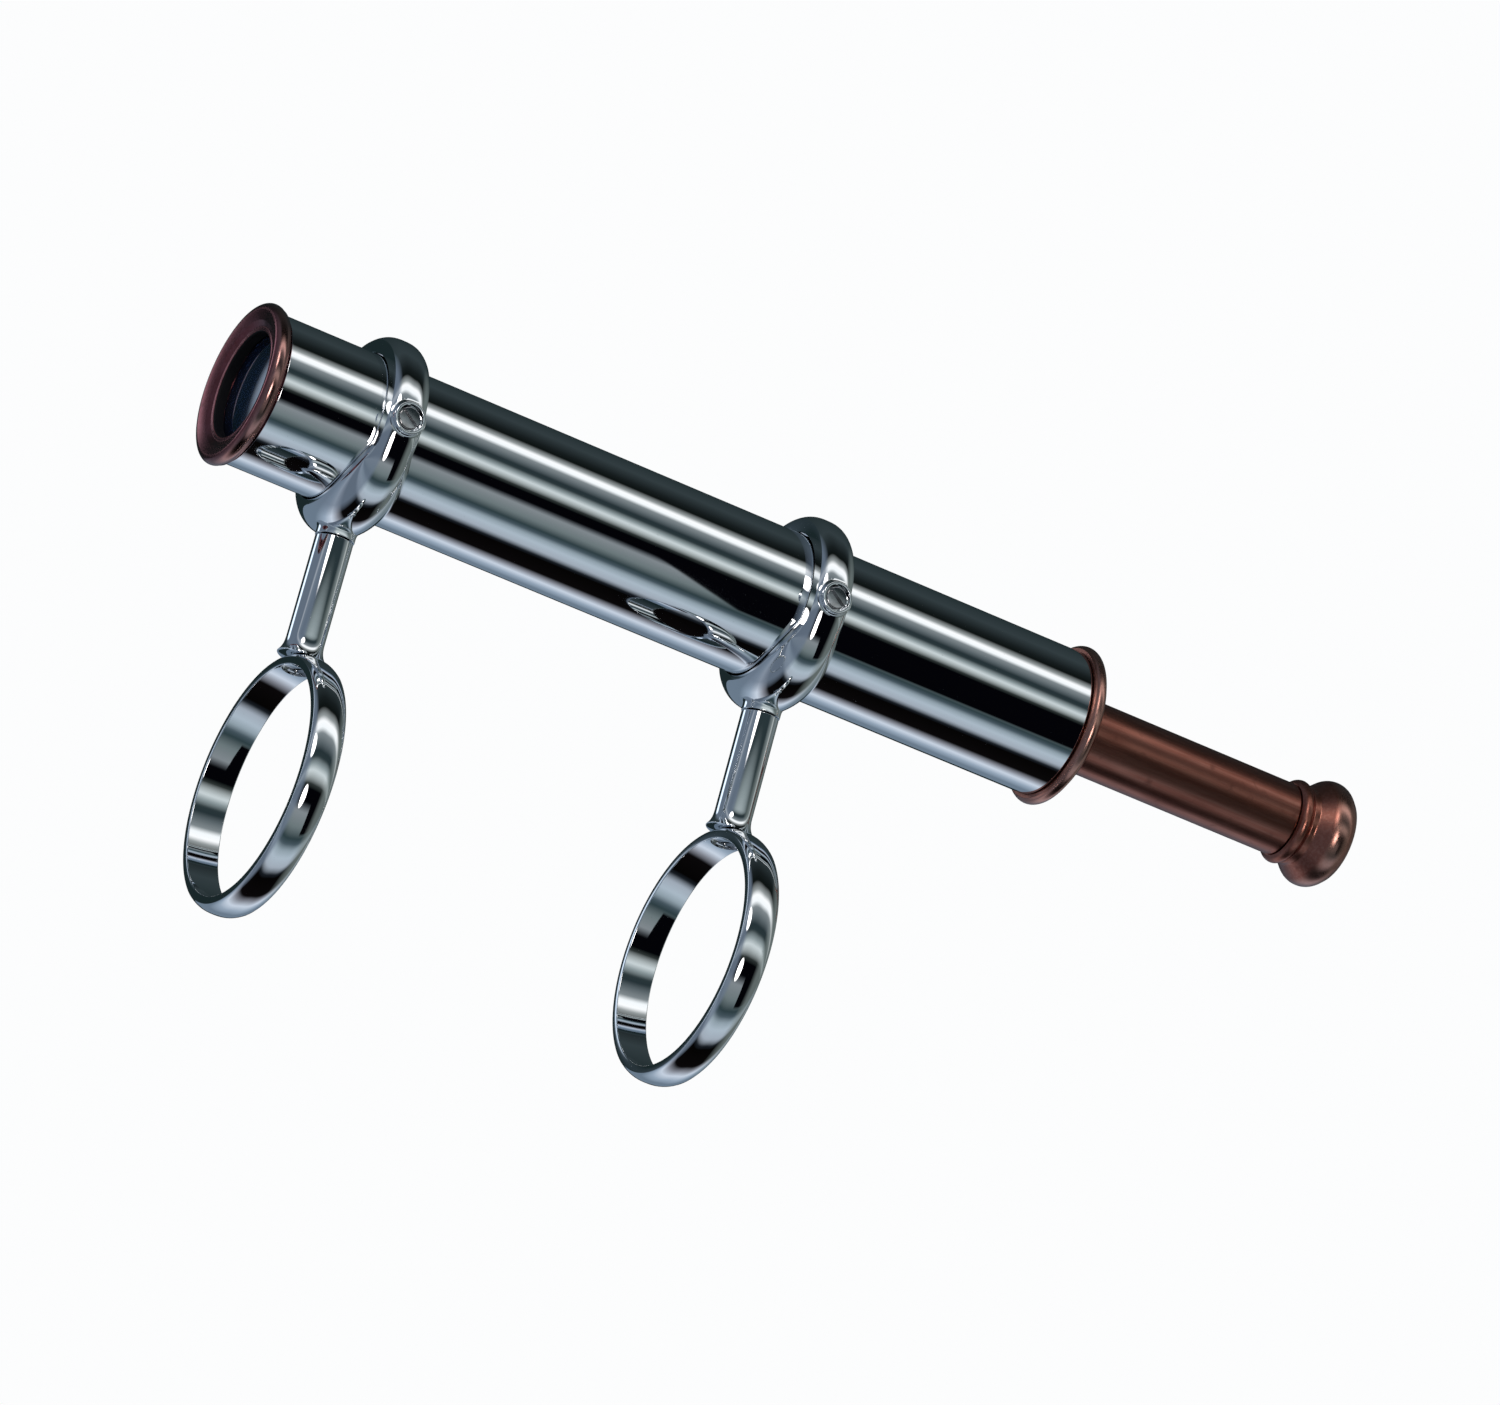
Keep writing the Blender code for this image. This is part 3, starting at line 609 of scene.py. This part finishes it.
def make_objective(origin, copper):
    """Objective cell: rolled lip, shallow dish, bright inner bead, threaded spigot."""
    pocket = LENS_RADIUS + GAP
    shoulder = TUBE_FRONT - GAP
    roll = 1.65 * MM
    corners = [(pocket, CELL_REAR, 0.2 * MM), (SPIGOT_RADIUS, CELL_REAR, 0.3 * MM)]
    pitch = 0.75 * MM
    for k in range(14):
        h = CELL_REAR - 1 * MM - k * pitch
        corners += [(SPIGOT_RADIUS, h, 0.06 * MM), (SPIGOT_RADIUS - 0.35 * MM, h - pitch / 2, 0.06 * MM)]
    corners += [(SPIGOT_RADIUS, shoulder, 0), (TUBE_RADIUS - 0.1 * MM, shoulder, 0.15 * MM)]
    corners += [(TUBE_RADIUS + 0.2 * MM, 1.75 * MM, 0.3 * MM), (TUBE_RADIUS + 0.9 * MM, 1.5 * MM, 0.3 * MM)]
    corners += arc(LIP_RADIUS - roll, 0.0, roll, 40, -100, 22)
    corners += [(14.2 * MM, -0.95 * MM, 1.5 * MM), (CLEAR_RADIUS + 1.15 * MM, -0.25 * MM, 0.4 * MM)]
    corners += arc(CLEAR_RADIUS + 0.5 * MM, 0.2 * MM, 0.5 * MM, -60, -180, 10)
    corners += [(CLEAR_RADIUS, LENS_SEAT, 0.1 * MM), (pocket, LENS_SEAT, 0)]
    cell = turned("objective_cell_rolled", rounded(corners), "X", origin, AROUND_TUBE)
    dress(cell, copper, "objective", "antique_copper", "objective_cell")


def surface(rim, edge_h, sag, steps=24):
    """Spherical lens surface from the axis to the rim."""
    if sag == 0:
        return [(0.0, edge_h, 0), (rim, edge_h, 0.15 * MM)]
    curve = (rim * rim + sag * sag) / (2 * sag)
    points = []
    for t in fractions(steps):
        r = rim * t
        depth = math.copysign(math.sqrt(curve * curve - r * r), curve) - (curve - sag)
        points.append((r, edge_h + depth, 0))
    return points


def make_lens(name, origin, front_sag, rear_sag, glass, body, node):
    """Smooth lens between the CAD lens's ends; a sag says how far a surface's middle lies behind its rim."""
    rim = radius_of(node)
    low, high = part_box(node)
    front = low.x - OBJECTIVE_X - min(front_sag, 0.0)
    rear = high.x - OBJECTIVE_X - max(rear_sag, 0.0)
    corners = surface(rim, front, front_sag) + surface(rim, rear, rear_sag)[::-1]
    lens = turned(name, rounded(corners, closed=False), "X", origin, AROUND, closed=False, sharp_deg=30)
    dress(lens, glass, body, "coated_glass", node)


def make_rear_cap(origin, copper):
    """Rear cap: thin rolled rim, domed back and a small collar round the draw tube."""
    rim = TUBE_REAR + GAP
    bore = 11.8 * MM
    opening = DRAW_RADIUS + GAP
    seat = CAP_REAR - 2.3 * MM
    corners = [(bore, CAP_FRONT, 0.2 * MM), (SPIGOT_RADIUS, CAP_FRONT, 0.3 * MM)]
    corners += [(SPIGOT_RADIUS, rim, 0)]
    corners += [(17.6 * MM, rim, 0.15 * MM)]
    corners += arc(RIM_RADIUS - 1.35 * MM, rim + 1.55 * MM, 1.35 * MM, -60, 75, 16)
    corners += [(17.0 * MM, rim + 3.2 * MM, 0.5 * MM)]
    for t in fractions(11):
        corners.append(((16.6 - 6.6 * t) * MM, rim + (3.5 + 2.3 * math.sin(t * math.pi / 2)) * MM, 0))
    corners += [(9.6 * MM, CAP_REAR - 0.5 * MM, 0.15 * MM), (9.6 * MM, CAP_REAR, 0.2 * MM)]
    corners += [(opening, CAP_REAR, 0.2 * MM), (opening, seat, 0), (bore, seat, 0)]
    cap = turned("rear_cap_domed", rounded(corners), "X", origin, AROUND_TUBE)
    dress(cap, copper, "scope", "antique_copper", "rear_end_cap")


def make_draw_tube(origin, copper):
    """Thin drawn tube with eased ends."""
    bore = DRAW_RADIUS - 1.0 * MM
    corners = [(bore, DRAW_FRONT, 0.1 * MM), (DRAW_RADIUS, DRAW_FRONT, 0.2 * MM)]
    corners += [(DRAW_RADIUS, DRAW_REAR, 0.2 * MM), (bore, DRAW_REAR, 0.1 * MM)]
    tube = turned("draw_tube_drawn", rounded(corners), "X", origin, AROUND_SLIM)
    dress(tube, copper, "draw", "antique_copper", "draw_tube")


def make_eyepiece(origin, copper):
    """Eyepiece cap: bead, waist, bulged flange, dished eye face."""
    pocket = 7.4 * MM
    seat = DRAW_REAR + GAP
    bead = seat + 1.5 * MM
    inner = EYE_REAR - 6.2 * MM
    corners = [(pocket, inner, 0), (pocket, seat, 0.1 * MM), (DRAW_RADIUS + 0.1 * MM, seat, 0.1 * MM)]
    corners += arc(DRAW_RADIUS, bead, 1.4 * MM, -75, 75, 18)
    corners += [(9.15 * MM, bead + 1.7 * MM, 0.3 * MM), (9.2 * MM, EYE_REAR - 9.2 * MM, 0.9 * MM)]
    corners += [(EYE_FLANGE_RADIUS, EYE_REAR - 5.6 * MM, 4.0 * MM)]
    corners += [(EYE_FLANGE_RADIUS, EYE_REAR - 2.4 * MM, 4.0 * MM)]
    corners += [(10.1 * MM, EYE_REAR - 0.05 * MM, 1.2 * MM)]
    corners += [(9.0 * MM, EYE_REAR, 0.3 * MM), (8.2 * MM, EYE_REAR, 0.25 * MM)]
    for t in fractions(9):
        corners.append(((7.9 - 4.3 * t) * MM, EYE_REAR - (0.2 + 3.2 * t**0.8) * MM, 0))
    corners += [(3.3 * MM, EYE_REAR - 3.7 * MM, 0.2 * MM), (3.3 * MM, inner, 0)]
    cap = turned("eyepiece_cap_flanged", rounded(corners, steps=8), "X", origin, AROUND_SLIM)
    dress(cap, copper, "eyepiece", "antique_copper", "eyepiece_cap")


def recoat(node, material):
    """Give a CAD node that stays a better material."""
    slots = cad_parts[node].data.materials
    slots.clear()
    slots.append(material)


def build_model():
    """Make every piece and finish every CAD node that stays."""
    origin = (OBJECTIVE_X, 0, FINDER_HEIGHT)
    tube_chrome = chrome_material("chrome_tube")
    cast_chrome = chrome_material("chrome_casting", (1, 1, 1))
    steel = machined_material("screw_steel", (0.46, 0.46, 0.48), (0.30, 0.29, 0.29), 0.12, 0.24 * MM)
    nylon = nylon_material("nylon_pad")
    for side, x in STATIONS.items():
        make_band(side, x, cast_chrome, steel)
        make_post(side, x, cast_chrome)
        make_ring(side, x, cast_chrome, steel)
        make_clamp(side, x, steel, nylon)
    make_tube(origin, tube_chrome)
    # The lip's copper is a darker, purpler copy of the other copper: painted shade, with the tint of a
    # painted reflection.
    shaded_lip_copper = copper_material("copper_objective_painted_shade", LIP_RADIUS, black_radius=CLEAR_RADIUS + 0.2 * MM,
                                 tone=(0.72, 0.58, 0.86), satin=0.68)
    make_objective(origin, shaded_lip_copper)
    make_rear_cap(origin, copper_material("copper_rear_cap", RIM_RADIUS))
    make_draw_tube(origin, copper_material("copper_draw_tube", 2 * LIP_RADIUS, (0.05, 1, 1)))
    make_eyepiece(origin, copper_material("copper_eyepiece", EYE_FLANGE_RADIUS))
    objective_glass = glass_material("glass_objective", (0.002, 0.006, 0.022), (0.001, 0.003, 0.011),
                                     LENS_RADIUS, 0.25)
    eye_glass = glass_material("glass_eyepiece", (0.55, 0.62, 0.75), (0.25, 0.32, 0.45),
                               EYE_LENS_RADIUS, 1.0)
    make_lens("crown_lens_polished", origin, -1.2 * MM, 0.9 * MM, objective_glass, "objective",
              "objective_crown_lens")
    make_lens("flint_lens_polished", origin, 0.7 * MM, 0.0, objective_glass, "objective",
              "objective_flint_lens")
    make_lens("field_lens_polished", origin, 0.0, 0.8 * MM, eye_glass, "eyepiece", "field_lens")
    make_lens("eye_lens_polished", origin, -0.8 * MM, 0.0, eye_glass, "eyepiece", "eye_lens")
    black = black_material("black_anodised_stops")
    for node in ("front_light_stop", "rear_light_stop", "objective_spacer", "objective_retaining_ring",
                 "reticle_spacer", "eyepiece_lens_spacer", "eye_lens_retaining_ring"):
        recoat(node, black)
    brass = machined_material("turned_brass", (0.72, 0.53, 0.27), (0.55, 0.37, 0.17), 0.3, 0.12 * MM)
    for node in ("draw_guide_bush", "draw_stop_collar", "eyepiece_barrel", "reticle_ring"):
        recoat(node, brass)
    recoat("crosswires", steel)


# ---------------------------------------------------------------- studio


# Studio tent round the tube's axis: degrees from +Y, behind, over the top, and each strip's display colour.
TENT = (
    (18, (26, 38, 40)), (76, (50, 60, 63)), (101, (23, 29, 30)), (111, (12, 17, 16)),
    (120, (150, 156, 156)), (125, (252, 253, 253)), (131, (244, 248, 249)), (136, (128, 136, 139)),
    (145, (88, 98, 102)), (151.5, (38, 50, 54)), (157, (42, 54, 57)), (163.5, (140, 152, 154)),
    (169, (202, 211, 212)), (174, (162, 170, 170)), (180, (46, 52, 51)), (184, (2, 4, 6)),
    (195, (2, 4, 6)), (198.5, (62, 66, 70)), (204, (128, 135, 139)), (217, (106, 118, 120)),
    (227.5, (44, 60, 64)), (233, (68, 83, 91)), (239.5, (144, 159, 168)), (247, (170, 184, 195)),
    (257, (160, 170, 181)), (265, (26, 31, 37)), (270, (5, 4, 4)), (296, (10, 8, 9)),
    (304, (128, 131, 140)), (315, (198, 208, 221)), (327, (148, 164, 181)), (342, (104, 120, 136)),
)
WEDGE_START = 184  # degrees; a black flag whose far edge swings down towards the eyepiece end
WEDGE_EDGE = (196, 224)
WEDGE_X = (0.376, 0.418)
FRONT_WALL = (104, 117, 133)
REAR_WALL = (112, 122, 120)
SOFTBOXES = (  # direction, outer and inner half-angles in degrees, brightness
    (Vector((-0.60, 0.75, 0.29)), 12, 4, (1.00, 1.18, 1.38)),
    (Vector((-0.20, -0.96, -0.20)), 11, 6, (6.0, 5.8, 5.6)),
    (Vector((-0.50, -0.70, 0.50)), 11, 6, (4.0, 3.9, 3.8)),
)


def linear(colour):
    """Linear light for an 8-bit display colour."""
    levels = [level / 255 for level in colour]
    return tuple(v / 12.92 if v < 0.04045 else ((v + 0.055) / 1.055) ** 2.4 for v in levels)


def make_world():
    """Striped studio tent for reflections, plain pale to the camera."""
    world = bpy.data.worlds.new("studio_tent")
    bpy.context.scene.world = world
    world.use_nodes = True
    world.node_tree.nodes.clear()
    g = Graph(world.node_tree)
    towards = g.add("TexCoord").outputs["Generated"]
    split = g.add("SeparateXYZ", {0: towards}).outputs
    angle = g.math("DIVIDE", g.math("ARCTAN2", split["Z"], split["Y"]), 2 * math.pi)
    turn = g.math("FLOORED_MODULO", angle, 1.0)
    ramp = g.add("ValToRGB", {0: turn})
    stops = ramp.color_ramp.elements
    while len(stops) > 1:
        stops.remove(stops[-1])
    for i, (degrees, colour) in enumerate(TENT):
        stop = stops[0] if i == 0 else stops.new(degrees / 360)
        stop.position = degrees / 360
        stop.color = (*linear(colour), 1.0)
    edge = g.between(split["X"], *WEDGE_X, WEDGE_EDGE[0] / 360, WEDGE_EDGE[1] / 360)
    beyond = g.between(g.math("SUBTRACT", turn, edge), -0.004, 0.004)
    before = g.math("LESS_THAN", turn, WEDGE_START / 360)
    colour = g.mix(g.math("MAXIMUM", beyond, before), (0.001, 0.001, 0.002), ramp.outputs["Color"])
    colour = g.mix(g.between(split["X"], -0.38, -0.62, 0.0, 0.8), colour, linear(FRONT_WALL))
    colour = g.mix(g.between(split["X"], 0.60, 0.85, 0.0, 0.7), colour, linear(REAR_WALL))
    for aim, outer, inner, brightness in SOFTBOXES:
        facing = g.add("VectorMath", {0: towards, 1: aim.normalized()}, operation="DOT_PRODUCT")
        outer, inner = math.cos(math.radians(outer)), math.cos(math.radians(inner))
        lit = g.between(facing.outputs["Value"], outer, inner, kind="SMOOTHSTEP")
        colour = g.mix(lit, colour, brightness)
    tent = g.add("Background", {"Color": colour, "Strength": 1.18})
    plain = g.add("Background", {"Color": (0.975, 0.98, 0.985, 1.0), "Strength": 1.0})
    camera_ray = g.add("LightPath").outputs["Is Camera Ray"]
    mix = g.add("MixShader", {0: camera_ray, 1: tent.outputs[0], 2: plain.outputs[0]})
    g.add("OutputWorld", {"Surface": mix.outputs[0]})


def make_light(name, location, energy, size=0.0):
    """Soft light aimed at the finder: a square of this size, or a wide sun if it has none."""
    light = bpy.data.lights.new(name, "AREA" if size else "SUN")
    light.energy = energy
    if size:
        light.size = size
    else:
        light.angle = math.radians(40)
    obj = bpy.data.objects.new(name, light)
    bpy.context.scene.collection.objects.link(obj)
    obj.location = location
    aim = Vector((0.04, 0, 0.05)) - obj.location
    obj.rotation_euler = aim.to_track_quat("-Z", "Y").to_euler()
    obj.visible_glossy = False


def make_studio():
    """Pale floor far below, evenly washed, and two soft lights."""
    bm = bmesh.new()
    bmesh.ops.create_grid(bm, x_segments=8, y_segments=8, size=10.0)
    floor = finish_mesh(bm, "studio_floor")
    floor.location = (0, 0, -0.8)
    n = Nodes("studio_floor_paint", 0.7, 0.0)
    tone = n.noise(n.position(), 1.5, 3.0)
    colour = n.mix(tone, (0.84, 0.85, 0.86), (0.88, 0.885, 0.89))
    floor.data.materials.append(n.out(Base_Color=colour))
    floor.visible_glossy = False
    make_light("soft_key", (-0.9, -1.3, 1.3), 24, 1.2)
    make_light("soft_fill", (1.4, 0.9, 1.1), 12, 1.4)
    make_light("floor_wash", (0.0, 0.0, 3.0), 2.7)


# Camera: 1.9 m away, below the optical axis, rolled as in the photographed view.
CAMERA_PLACE = (-0.690, -1.601, -0.4535)
CAMERA_UP = Vector((-0.309, -0.050, 0.950))
CAMERA_LENS = 205.0
AIM_LIFT = 22 * MM  # aim above the box's middle, so that the finder sits in the middle of the frame


def make_camera():
    """Aim the camera at the middle of the finder."""
    low, high = cad_box
    target = (low + high) / 2 + AIM_LIFT * CAMERA_UP
    data = bpy.data.cameras.new("camera")
    data.lens = CAMERA_LENS
    data.sensor_width = 36.0
    data.clip_start = 0.05
    camera = bpy.data.objects.new("camera", data)
    bpy.context.scene.collection.objects.link(camera)
    camera.location = CAMERA_PLACE
    back = (Vector(CAMERA_PLACE) - target).normalized()
    right = CAMERA_UP.cross(back).normalized()
    up = back.cross(right)
    camera.rotation_euler = Matrix((right, up, back)).transposed().to_euler()
    bpy.context.scene.camera = camera


build_model()
make_world()
make_studio()
make_camera()
bpy.context.scene.view_settings.view_transform = "Standard"
